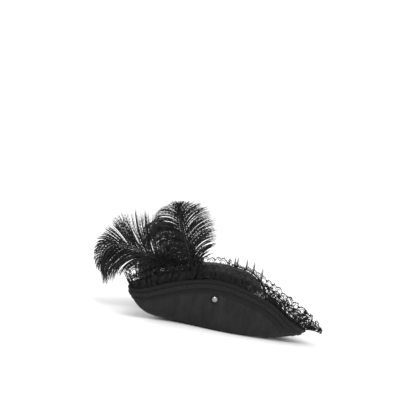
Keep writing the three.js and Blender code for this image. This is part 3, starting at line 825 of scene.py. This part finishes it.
def make_studs():
    """Each stud: a dome on the outer face, a post through the felt and a washer behind it."""
    foot, sides = 8.4, 64
    dome = [(7.3 * cos(a), 1.5 + 4.3 * sin(a)) for a in linspace(0, pi / 2, 12)]
    cap = [(0, 0), (7.9, 0), (8.25, 0.2), (foot, 0.6), (8.3, 1.0), (7.9, 1.3), (7.5, 1.35), *dome]
    washer = [(2.4, -2.35), (5.0, -2.35), (5.5, -2.55), (5.5, -3.0), (5.1, -3.3), (2.4, -3.35)]
    post = [(0, 1.8), (1.75, 1.8), (1.75, -3.2), (1.5, -3.7), (1.0, -4.0), (0, -4.05)]
    painted_light_share_out = np.repeat([radius / foot for radius, _ in cap], sides)
    for side, u in STUDS.items():
        at, inner = (brim_grid([u], [STUD_DEPTH], offset)[0, 0] for offset in (0, 1.0))
        out = unit(at - inner)
        metal = {"look": GUNMETAL_LOOK, "slot": "gunmetal"}
        # along carries the share outwards that places the painted highlight and painted shade on the dome
        piece(f"stud_dome_{side}", lathe(cap, at + out * 1.75, out, sides), nodes=[f"stud_cap_{side}"],
              along=painted_light_share_out, **metal)
        ring = lathe(washer, at, out, 48)[0].reshape(len(washer), 48, 3)
        piece(f"stud_back_ring_{side}", ring_part(ring, closed=True), nodes=[f"stud_washer_{side}"], **metal)
        piece(f"stud_rivet_{side}", lathe(post, at, out, 24), nodes=[f"stud_post_{side}"], **metal)


# ---- ornament ----

# Each pair of thorns: its place up the crown and the height of its tips.
THORNS = ((0.93, 159), (0.87, 160), (0.785, 161), (0.7, 159), (0.57, 150))
BAR_LIFT = 4.3  # height of the spine's middle line off the crown
OUTWARDS = (0, -1, 0.2)  # roughly square to the crown's front


def jet_piece(name, parts, node):
    piece(name, join(parts), JET_LOOK, [node], slot="jet")


def over_place(place, x, lift):
    """Points over the front middle line at even places between the profile's own points."""
    heights = CROWN_PROFILE[:, 1]
    return over_front(interp(place, linspace(0, 1, len(heights)), heights), x, lift)


def make_bar():
    """The spine along the crown: a turned rod with a collar at each pair of thorns."""
    line = smooth_line(over_place(linspace(0.435, 0.93, 200)[::20], 0, BAR_LIFT), 260)
    at = linspace(0, 1, len(line))
    radius = interp(at, (0, 0.1, 0.16, 0.5, 0.97, 1), (1.4, 2.2, 3.0, 2.8, 2.2, 1.2)) + 0.35 * sin(at * 84)
    parts = [tube(line, radius, 18)]
    for place, _ in THORNS:
        k = int(np.argmin(np.linalg.norm(line - over_place(place, 0, BAR_LIFT), axis=1)))
        ahead = unit(line[min(k + 1, 260)] - line[max(k - 1, 0)])
        parts.append(bead(line[k], 3.9, ahead, 0.75, 24))
        parts += [bead(line[k] + ahead * shift, 3.2, ahead, 0.35, 22) for shift in (-2.9, 2.9)]
    jet_piece("ornament_spine", parts, "ornament_bar")


def make_thorns():
    """Five pairs of claws: each sweeps out along the crown, then up to a fine point."""
    taper = (0, 0.1, 0.35, 0.55, 0.8, 1), (2.1, 1.8, 2.1, 1.5, 0.8, 0.12)
    upwards = ((-0.4, 0.12), (2.2, 0.3), (3.9, 0.56), (4.0, 0.8), (3.2, 1))  # sideways, share of the rise
    for n, (place, tip) in enumerate(THORNS, 1):
        for side, word in SIDES:
            bend = over_place(place, side * 20, 4.0)
            path = [over_place(place, side * out, lift) for out, lift in ((3.1, 4.1), (9.5, 3.7), (15, 4.6))]
            path += [bend + (side * out, 0, share * (tip - bend[2])) for out, share in upwards]
            line = smooth_line(path, 80)
            parts = [tube(line, taper, 16)]
            for k, size in ((1, 2.6), (5, 2.2)):
                parts.append(bead(line[k], size, unit(line[k + 1] - line[k]), 0.45, 18))
            inset = interp(arange(8, 62), (8, 62), (0.2, 1))[:, None] * (side * 0.9, 0, 0)
            parts.append(tube(line[8:62] - inset + (0, 0, 0.9), ((0, 10 / 53, 1), (0.3, 0.8, 0.2)), 8))
            jet_piece(f"thorn_spike_{word}_{n}", parts, f"thorn_{word}_{n}")


def make_finial():
    profile = [(0, 0), (4, 0), (4.3, 0.8), (3.7, 1.6), (2.6, 2.2), (2.5, 3), (3.5, 4), (3.8, 5.2),
               (3.2, 6.6), (2, 7.6), (1.8, 8.2), (2.6, 9), (2.6, 9.8), (1.8, 10.6), (1.5, 11.6),
               (1.6, 12.8), (1.1, 14.4), (0.55, 16.4), (0.12, 18.6), (0, 18.7)]
    jet_piece("finial_spire", [lathe(profile, (0, -6.6, 138.2), (0, 0, 1), 36)], "ornament_finial")


WING_ARCH = smooth_line([(6, 86), (16, 93.5), (30, 97.5), (42, 96), (51, 88)], 60)
# Rows of feathers from the lowest: first and last place on the arch, length, half width, lift off the crown.
FEATHER_ROWS = ((0.1, 0.99, 20, 2.0, 1.7), (0.06, 0.85, 13, 1.8, 2.6), (0.04, 0.7, 7.5, 1.6, 3.5))
FEATHER_TAPER = (0, 0.12, 0.75, 1), (0.5, 0.95, 0.85, 0.15)
SHAFT_TAPER = (0, 0.9, 1), (0.42, 0.25, 0.1)


def on_flank(side, x, z, lift):
    """Points over one side of the crown's front by their distance from the middle line and their height."""
    share = crown_share(z)
    half_width = CROWN[0] * interp(share, CROWN_SHARES, CROWN_CURVE[:, 0])
    angle = np.degrees(np.arcsin(clip(x / half_width, -0.99, 0.99)))
    return crown_points(side * angle, share, lift)


def arch_at(place):
    return (interp(place, linspace(0, 1, len(WING_ARCH)), values) for values in WING_ARCH.T)


def make_wings():
    """Each wing: an arched leading edge with rows of tapering feathers hanging from it."""
    s = linspace(0, 1, 14)
    for side, word in SIDES:
        parts = [tube(on_flank(side, *WING_ARCH.T, 3.2), ((0, 0.1, 0.6, 1), (2.0, 2.5, 2.0, 0.5)), 12)]
        for row, (first, last, long, wide, lift) in enumerate(FEATHER_ROWS):
            for k, place in enumerate(linspace(first, last, 13 - 2 * row)):
                x, z = arch_at(place)
                angle = radians(interp(place, (0, 1), (-84, -14 - 8 * row)))
                reach = s * long * interp(place, (0, 0.45, 1), (0.75, 1.0, 0.72))
                across, down = x + reach * cos(angle) + 1.5 * s**2, z + reach * sin(angle)
                vane = on_flank(side, across, down, lift - 0.5 * s + 0.25 * (k % 2))
                parts.append(tube(vane, wide * interp(s, *FEATHER_TAPER), 8, flat=0.55))
                parts.append(tube(on_flank(side, across, down, lift + 0.55 - 0.5 * s), SHAFT_TAPER, 6))
        for place in linspace(0.12, 0.92, 9):
            parts.append(bead(on_flank(side, *arch_at(place), 4.6), 1.0 - 0.35 * place, OUTWARDS, 0.8, 12))
        jet_piece(f"wing_{word}", parts, f"cross_wing_{word}")


UPRIGHT_LIFT = 5.6  # height of the cross's middle line off the crown
UPRIGHT = ((48, 0.6), (50, 1.7), (54, 2.7), (57, 1.5), (60, 2.2), (66, 2.6), (70, 1.6),
           (74, 2.4), (78, 3.6), (88, 3.8), (92, 2.4), (96, 2.6), (98, 0.9))  # height, radius
COLLARS = ((51, 2.6, 0.5), (57.5, 2.7, 0.45), (63, 3.5, 1), (70, 2.6, 0.4),
           (73, 3.1, 0.4), (91.5, 3.3, 0.5), (95, 3.1, 1))  # height, radius, length share
CURLS = ((62, 5, 1), (71, 4.2, -1), (93, 3.4, 1))  # height, size, way round
STONE_AT, STONE_SETTING = 83, [(0, 0), (7.2, 0), (7.6, 0.7), (7.4, 1.6), (6.6, 2.0), (6.2, 1.9)]


def off_front(height, lift):
    """A point over the front middle line and the direction away from the crown there."""
    foot = over_front(height, 0, lift)
    return foot, unit(over_front(height, 0, lift + 1) - foot)


def set_stone():
    """A domed stone in a setting with a ring of grains."""
    at, out = off_front(STONE_AT, 5.0)
    dome = [(5.9 * cos(a), 1.7 + 3.3 * sin(a)) for a in linspace(0, pi / 2, 10)]
    grains = at + out * 1.7 + spokes(circle(18), ACROSS, unit(cross(out, ACROSS))) * 7.1
    return [lathe(STONE_SETTING + dome, at, out), *(bead(grain, 0.95, out, 0.8, 10) for grain in grains)]


def make_cross():
    """The upright of the cross: beads and collars, a stone where the wings meet, curls and two leaves."""
    z = linspace(48, 98, 100)
    parts = [tube(over_front(z, 0, UPRIGHT_LIFT), interp(z, *zip(*UPRIGHT)), 20)]
    for height, size, long in COLLARS:
        at, out = off_front(height, UPRIGHT_LIFT)
        parts.append(bead(at, size, unit(cross(out, ACROSS)), long, 22))
    parts += set_stone()
    t, turn = linspace(0, 1, 24), linspace(-1.6, 4.4, 34)
    for side in (-1, 1):
        for height, size, way in CURLS:
            out = 3.4 + size * 0.55 * (1 - cos(turn))
            curl = over_front(height + way * size * sin(turn), side * out, 4.4)
            parts.append(tube(curl, ((0, 1), (1.35, 0.5)), 10))
            parts.append(bead(curl[-1], 1.3, OUTWARDS, 0.8, 12))
        leaf = over_front(76 - 17 * t, side * (6.5 + 3.6 * sin(3.0 * t)), 3.6)
        parts.append(tube(leaf, ((0, 0.4, 1), (0.8, 1.7, 0.3)), 10, flat=0.6))
    jet_piece("cross_upright", parts, "cross_body")


def make_pendant():
    """A beaded drop-shaped loop below the cross, with graded drops inside it."""
    beads, lift = 30, 2.9
    turn = circle(2 * beads)
    loop = over_front(26 - 17.4 * cos(turn), 9.4 * sin(turn) * (0.86 + 0.22 * cos(turn)), lift)
    parts = [tube(loop, 0.8, 10, closed=True)]
    for k in range(0, 2 * beads, 2):
        parts.append(bead(loop[k], 1.6, unit(loop[k + 1] - loop[k - 1]), 0.8, 12))
    for height, size in ((43.6, 2.1), (46.2, 1.6)):
        parts.append(bead(over_front(height, 0, lift), size, sides=16))
    jet_piece("pendant_chain", parts, "cross_pendant")
    drops = []
    for height, size, long in ((34.5, 1.3, 1.2), (30.8, 1.9, 1.2), (25.2, 2.8, 1.3), (18.4, 2, 1.7)):
        drops.append(bead(over_front(height, 0, 3.2), size, long=long, sides=20))
    drops.append(tube(over_front((37, 30, 22, 15), 0, 3.2), 0.5, 8))
    jet_piece("pendant_drops", drops, "pendant_drop")


# ---- bow ----

BOW_AT, BOW_TILT = array((-4.5, 62, 134.5)), -radians(12)
# The ribbon's way out from the knot and back again, seen from its edge.
BOW_LOOP = [(3, 1.6), (9, 3), (18, 4.6), (29, 4.9), (38, 3.6), (43.2, 1.4), (43.6, -0.4), (41, -1.5),
            (33, -1.6), (22, -1.1), (12, -0.5), (3.5, -0.2)]
TAIL_LONG = 49


def bow_piece(name, part, nodes):
    """Tilts a part of the bow and puts it in its place on the crown."""
    points, faces = part
    c, s = cos(BOW_TILT), sin(BOW_TILT)
    placed = points @ ((1, 0, 0), (0, c, s), (0, -s, c)) + BOW_AT
    obj = piece(name, (placed, faces), RIBBON_LOOK, nodes, slot="ribbon", along=points[:, 0] + points[:, 1])


def bow_loop(side):
    """A folded loop of ribbon that widens from the knot, slightly cupped."""
    x, z = smooth_line(BOW_LOOP, 90).T
    t = linspace(0, 1, len(x))
    line = stack([side * x, 0.8 * sin(3 * t), z], 1)
    across = array((0, 1.0, 0))
    off = unit(cross(gradient(line, axis=0), across))
    wide = 4.5 + 8.3 * clip((x - 3) / 22, 0, 1) ** 0.7
    share = linspace(-1, 1, 15)[:, None]
    cup = 0.55 * sin(share * 2.6 + 5 * t[:, None, None])
    return slab(line[:, None] + across * share * wide[:, None, None] + off[:, None] * cup, 0.55)


def bow_wrap():
    """The band round the middle, narrower and rounder at its edges."""
    t, a = linspace(-1, 1, 17), circle(56)[:, None]
    x = t * 4.9 + 0.3 * sin(a)
    y = 6.0 * cos(a) * (1 + 0.08 * cos(2 * a)) * (1 - 0.1 * t**2)
    z = 1.4 + 3.2 * sin(a) * (1 - 0.22 * t**2) + 0.22 * sin(6 * t)
    return slab(stack([x, y, z], -1), 0.6, closed=True)


def bow_tail(side):
    """A tail that widens to a swallow-tail cut and lies down over the crown."""
    share, t = linspace(1, TAIL_LONG, 50)[:, None] / TAIL_LONG, linspace(-1, 1, 21)
    reach = TAIL_LONG * share - 5.5 * (1 - np.abs(t)) * clip((share - 0.6) / 0.4, 0, 1)
    y = t * (6.5 + 5.8 * share ** 0.8) + side * 5 * share
    z = -3.35 - 0.0009 * reach**2 + 0.35 * sin(2.4 * t + 3.2 * share + side)
    return outward(slab(stack([side * reach, y, z], -1), 0.5))


def make_bow():
    for side, word in SIDES[::-1]:
        bow_piece(f"bow_ribbon_{word}", bow_loop(side), [f"bow_loop_{word}"])
    bow_piece("bow_centre_wrap", bow_wrap(), ["bow_knot"])
    tails = join([bow_tail(side) for side in (-1, 1)])
    bow_piece("bow_ribbon_tails", tails, ["bow_tails"])


# ---- plumes ----

SLEEVE_WAY = unit(SLEEVE_AXIS)
SLEEVE_SIDE, SLEEVE_UP = square_to(SLEEVE_WAY, ACROSS)
BARB_TOOTH = 3.8  # length of a barb's teeth
TOOTH_NOTCH = 0.34  # share of a barb's width between two teeth
BARB_TAPER = (0, 0.12, 0.75, 1), (0.35, 0.95, 0.85, 0.12)
QUILL_TAPER = (0, 0.08, 0.3, 0.6, 0.9, 1), (0.9, 1.35, 1.2, 0.85, 0.45, 0.2)
TUFT = 5  # barbs that cling together at their tips
DOWN_BARBS, BARE_BARBS = 760, 70
DOWN_BED = [(-78, 50, 104), (-74, 80, 115), (-74, 104, 121), (-80, 132, 118), (-80, 156, 120)]


def along_sleeve(s):
    """Points on the sleeve's middle line."""
    return SLEEVE_AT + SLEEVE_WAY * np.asarray(s)[..., None]


def make_sleeve():
    """A loop of ribbon rolled into a tube, its end lapped over and sewn."""
    turn = linspace(0, TAU * 1.12, 58)
    s = linspace(-11, 13, 16)
    lap = 0.55 * clip((turn - TAU) / 0.5, 0, 1)[:, None]
    radius = 3.75 + lap + 0.1 * sin(s * 0.9 + turn[:, None])
    part = slab(along_sleeve(s) + radius[..., None] * spokes(turn, SLEEVE_SIDE, SLEEVE_UP)[:, None], 0.5)
    sleeve = piece("plume_ribbon_loop", part, RIBBON_LOOK, ["plume_sleeve"], slot="ribbon",
                   along=(part[0] - SLEEVE_AT) @ SLEEVE_WAY)


def make_wrap():
    """Thread wound thirty times round the joined stems."""
    turn = arange(0, TAU * 30, TAU / 14)
    s = interp(turn, (0, turn[-1]), (-7.4, 21.4))
    radius = 2.35 + 0.12 * sin(s * 0.8)
    helix = along_sleeve(s) + radius[:, None] * spokes(turn, SLEEVE_SIDE, SLEEVE_UP)
    core = tube(along_sleeve(linspace(-7.9, 21.8, 20)), 2.3, 16)
    part = join([core, tube(helix, 0.52, 6)])
    piece("plume_binding_thread", part, BRAID_LOOK, ["plume_wrap"], SPRAY, "ribbon")


def arc_barb(start, angle, bend, long, steps, lean, rng):
    """A barb in the plane of its plume: it sets off at one angle and ends at another, leaning sideways."""
    t = linspace(0, 1, steps + 1)
    turn = radians(angle + (bend - angle) * t ** 1.5)
    ahead = stack([lean + 0.12 * sin(3 * t + rng.uniform(0, 6)), cos(turn), sin(turn)], 1)
    return concatenate([[start], start + np.cumsum(unit(ahead)[:-1] * (long / steps), 0)])


def barb_ribbon(line, wide, facing):
    """A barb with its downy barbules: a thin strip with toothed edges."""
    ahead = unit(gradient(line, axis=0))
    side = unit(cross(ahead, facing))
    body = interp(linspace(0, 1, len(line)), *BARB_TAPER)[:, None] * wide
    tooth = side * body * where(arange(len(line)) % 2, 1.0, TOOTH_NOTCH)[:, None]
    rise = cross(side, ahead) * 0.16 * maximum(body, 0.5)
    return ring_part(stack([line + tooth, line + rise, line - tooth, line - rise], 1))


# Each plume: its plane, where it leaves the binding, how many barbs grow on each side of a mm of its shaft,
# the shaft's line in that plane as (y, z), and for each side the barbs as rows of share along the shaft,
# first angle, last angle and length, with angles from straight back towards up.
PLUMES = {
    "rear": {
        "x": -82, "base": (-1.7, 0.4), "barbs": 2.3,
        "shaft": [(82, 105), (118, 120), (146, 126), (166, 131), (193, 138), (221, 142), (250, 138),
                  (266, 120), (270, 96)],
        "over": [(0.06, 72, 92, 34), (0.14, 66, 96, 66), (0.21, 64, 98, 98), (0.28, 62, 92, 104),
                 (0.38, 58, 82, 106), (0.46, 52, 68, 102), (0.53, 46, 52, 92), (0.6, 42, 34, 78),
                 (0.68, 34, 4, 60), (0.78, 22, -50, 43), (0.88, 4, -100, 32), (1, -80, -118, 26)],
        "under": [(0.06, 4, -40, 30), (0.16, 4, -56, 52), (0.28, -4, -74, 80), (0.42, -14, -100, 108),
                  (0.55, -28, -112, 120), (0.7, -46, -116, 90), (0.84, -74, -120, 54), (1, -98, -122, 34)],
    },
    "front": {
        "x": -72, "base": (1, 1.5), "barbs": 2.5,
        "shaft": [(66, 120), (82, 148), (104, 188), (119, 222), (128, 248)],
        "over": [(0.02, 70, 60, 30), (0.14, 40, -60, 46), (0.3, 28, -96, 74), (0.48, 26, -102, 98),
                 (0.64, 26, -98, 98), (0.76, 34, -78, 78), (0.86, 46, -20, 46), (0.94, 62, 34, 25),
                 (1, 82, 74, 15)],
        "under": [(0.02, 110, 148, 54), (0.14, 112, 162, 72), (0.3, 108, 168, 84), (0.48, 106, 166, 85),
                  (0.64, 104, 158, 77), (0.8, 100, 148, 53), (0.92, 94, 132, 29), (1, 86, 104, 15)],
    },
    "middle": {
        "x": -60, "base": (1.2, -1.4), "barbs": 1.3,
        "shaft": [(62, 122), (86, 152), (114, 184), (140, 202), (162, 200), (174, 184)],
        "over": [(0.02, 70, 84, 40), (0.2, 82, 98, 36), (0.4, 76, 80, 20), (0.6, 60, 10, 16),
                 (0.8, 30, -70, 30), (0.92, -20, -92, 48), (1, -50, -100, 44)],
        "under": [(0.02, 30, -30, 30), (0.15, 20, -60, 60), (0.35, 14, -84, 84), (0.6, 0, -92, 88),
                  (0.8, -40, -98, 78), (0.92, -70, -100, 60), (1, -85, -104, 44)],
    },
}


def barb_tuft(shaft, shares, rows, rng):
    """A few neighbouring barbs whose tips draw in towards one in their middle, which isn't made itself."""
    nudge = rng.normal(0, 1, 3)
    steps = max(10, int(interp(shares.mean(), rows[:, 0], rows[:, 3]) / BARB_TOOTH))
    close = (linspace(0, 1, steps + 1) ** 1.3)[:, None] * rng.uniform(0.3, 0.75)

    def barb_at(share):
        first, last, long = (interp(share, rows[:, 0], values) for values in rows.T[1:])
        first += 1.2 * nudge[0] + rng.normal(0, 2.5)
        last += 2.5 * nudge[1] + rng.normal(0, 4)
        long *= 1 + rng.uniform(-0.12, 0.07)
        lean = 0.2 * nudge[2] + rng.normal(0, 0.12)
        return arc_barb(shaft[int(share * 300)], first, last, long, steps, lean, rng)
    middle = barb_at(shares.mean())
    parts = []
    for share in shares:
        barb = barb_at(share)
        barb = barb + (middle - barb) * close + (rng.normal(0, 1.1), 0, 0) * close
        facing = unit(array((1.0, rng.normal(0, 0.4), rng.normal(0, 0.4))))
        parts.append(barb_ribbon(barb, rng.uniform(0.6, 0.95), facing))
    return parts


def make_plume(name, plume, rng):
    """A quill from the binding to the tip of the shaft, and a vane of barbs on each side of the shaft."""
    dx, lift = plume["base"]
    stem = [along_sleeve(at) - SLEEVE_SIDE * lift * spread + ACROSS * dx * fan
            for at, spread, fan in ((23.2, 1, 1), (31, 1.6, 1.8))]
    shaft = [array((plume["x"], y, z)) for y, z in plume["shaft"]]
    quill = tube(smooth_line(array(stem + shaft), 150), QUILL_TAPER, 12)
    piece(f"{name}_quill", quill, QUILL_LOOK, [f"plume_{name}_quill"], SPRAY, "quill")
    shaft = smooth_line(shaft, 300)
    for side in ("over", "under"):
        rows = array(plume[side], float)
        first, last = rows[0, 0], rows[-1, 0]
        count = int(plume["barbs"] * lengths_along(shaft)[-1] * (last - first))
        parts = []
        for shares in np.array_split(linspace(first, last, count), count // TUFT):
            parts += barb_tuft(shaft, shares, rows, rng)
        node = f"plume_{name}_vane_{side}"
        piece(f"{name}_barbs_{side}", join(parts), PLUME_LOOK, [node], SPRAY, "plume")


def make_down(rng):
    """The loose down at the foot of the plumes, between the binding and the vanes, and a few bare barbs."""
    bed = smooth_line(DOWN_BED, 100)
    parts = []
    for _ in range(DOWN_BARBS):
        foot = bed[int(rng.uniform(0, 100))] + rng.normal(0, 1, 3) * (7, 4, 9)
        angle = rng.uniform(30, 150)
        bend, long = angle + rng.normal(0, 50), rng.uniform(18, 40)
        barb = arc_barb(foot, angle, bend, long, 10, rng.normal(0, 0.4), rng)
        parts.append(barb_ribbon(barb, rng.uniform(0.6, 1.1), unit(rng.normal(0, 1, 3))))
    for _ in range(BARE_BARBS):
        foot = bed[int(rng.uniform(0, 100))] + rng.normal(0, 1, 3) * (6, 4, 3) - (0, 0, 16)
        angle, bend, long = rng.uniform(76, 104), rng.uniform(70, 110), rng.uniform(24, 40)
        barb = arc_barb(foot, angle, bend, long, 8, rng.normal(0, 0.1), rng)
        parts.append(tube(barb, ((0, 1), (0.5, 0.25)), 6))
    piece("plume_down", join(parts), PLUME_LOOK, body=SPRAY, slot="plume")


# ---- the rest of the scene ----

def make_camera():
    """The wearer's right side, level with the hat, with the front point tilted down."""
    target = Vector((-0.05, 0.0656, 0.2576))
    distance, width = 3.0, 0.915
    turn, roll, height = (radians(angle) for angle in (270, 12, 4.2))
    back = Vector((sin(turn) * cos(height), -cos(turn) * cos(height), sin(height)))
    camera = bpy.data.objects.new("camera", bpy.data.cameras.new("camera"))
    camera.data.sensor_width = 36
    camera.data.lens = 36 * distance / width
    camera.data.clip_end = 30
    place = Matrix.Translation(target + back * distance)
    facing = (-back).to_track_quat("-Z", "Y").to_matrix().to_4x4()
    camera.matrix_world = place @ facing @ Matrix.Rotation(roll, 4, "Z")
    bpy.context.scene.collection.objects.link(camera)
    bpy.context.scene.camera = camera


def area_light(name, place, size, power):
    """A rectangular light aimed at the hat."""
    lamp = bpy.data.lights.new(name, "AREA")
    lamp.shape, lamp.size, lamp.size_y, lamp.energy = "RECTANGLE", size[0], size[1], power
    obj = bpy.data.objects.new(name, lamp)
    obj.location = place
    obj.rotation_euler = (Vector((0, 0, 0.08)) - Vector(place)).to_track_quat("-Z", "Y").to_euler()
    bpy.context.scene.collection.objects.link(obj)


def make_studio():
    mesh = bpy.data.meshes.new("floor")
    mesh.from_pydata([(-20, -20, 0), (20, -20, 0), (20, 20, 0), (-20, 20, 0)], [], [(0, 1, 2, 3)])
    mesh.materials.append(Look("white_floor", 0.9, 0.9, [(COLOUR, (3, 2), 0.9, 0.92)]).material)
    floor = bpy.data.objects.new("floor", mesh)
    bpy.context.scene.collection.objects.link(floor)
    area_light("key", (-1.7, 0.25, 2.1), (0.8, 0.8), 24)
    area_light("fill", (-2.4, -1.4, 1.0), (1.4, 1.8), 5)
    area_light("rim", (1.8, 1.6, 1.9), (1.4, 1.4), 14)
    area_light("front", (0.8, -2.4, 1.5), (1.6, 1.2), 10)
    scene = bpy.context.scene
    scene.world = scene.world or bpy.data.worlds.new("studio")
    scene.world.use_nodes = True
    background = scene.world.node_tree.nodes["Background"]
    background.inputs["Color"].default_value = (1, 1, 1, 1)
    background.inputs["Strength"].default_value = 1.1
    scene.view_settings.view_transform = "Standard"


for make in (make_camera, make_studio, make_crown, make_lining, make_sweatband, make_brim, make_binding,
             make_wire, make_trim_ribbon, make_gimp, make_trim_details, make_ruffles, make_crown_lace,
             make_brim_lace, make_studs, make_bar, make_thorns, make_finial, make_wings, make_cross,
             make_pendant, make_bow, make_sleeve, make_wrap):
    make()
PLUME_RNG = np.random.default_rng(5)
for plume_name, plume_facts in PLUMES.items():
    make_plume(plume_name, plume_facts, PLUME_RNG)
make_down(PLUME_RNG)
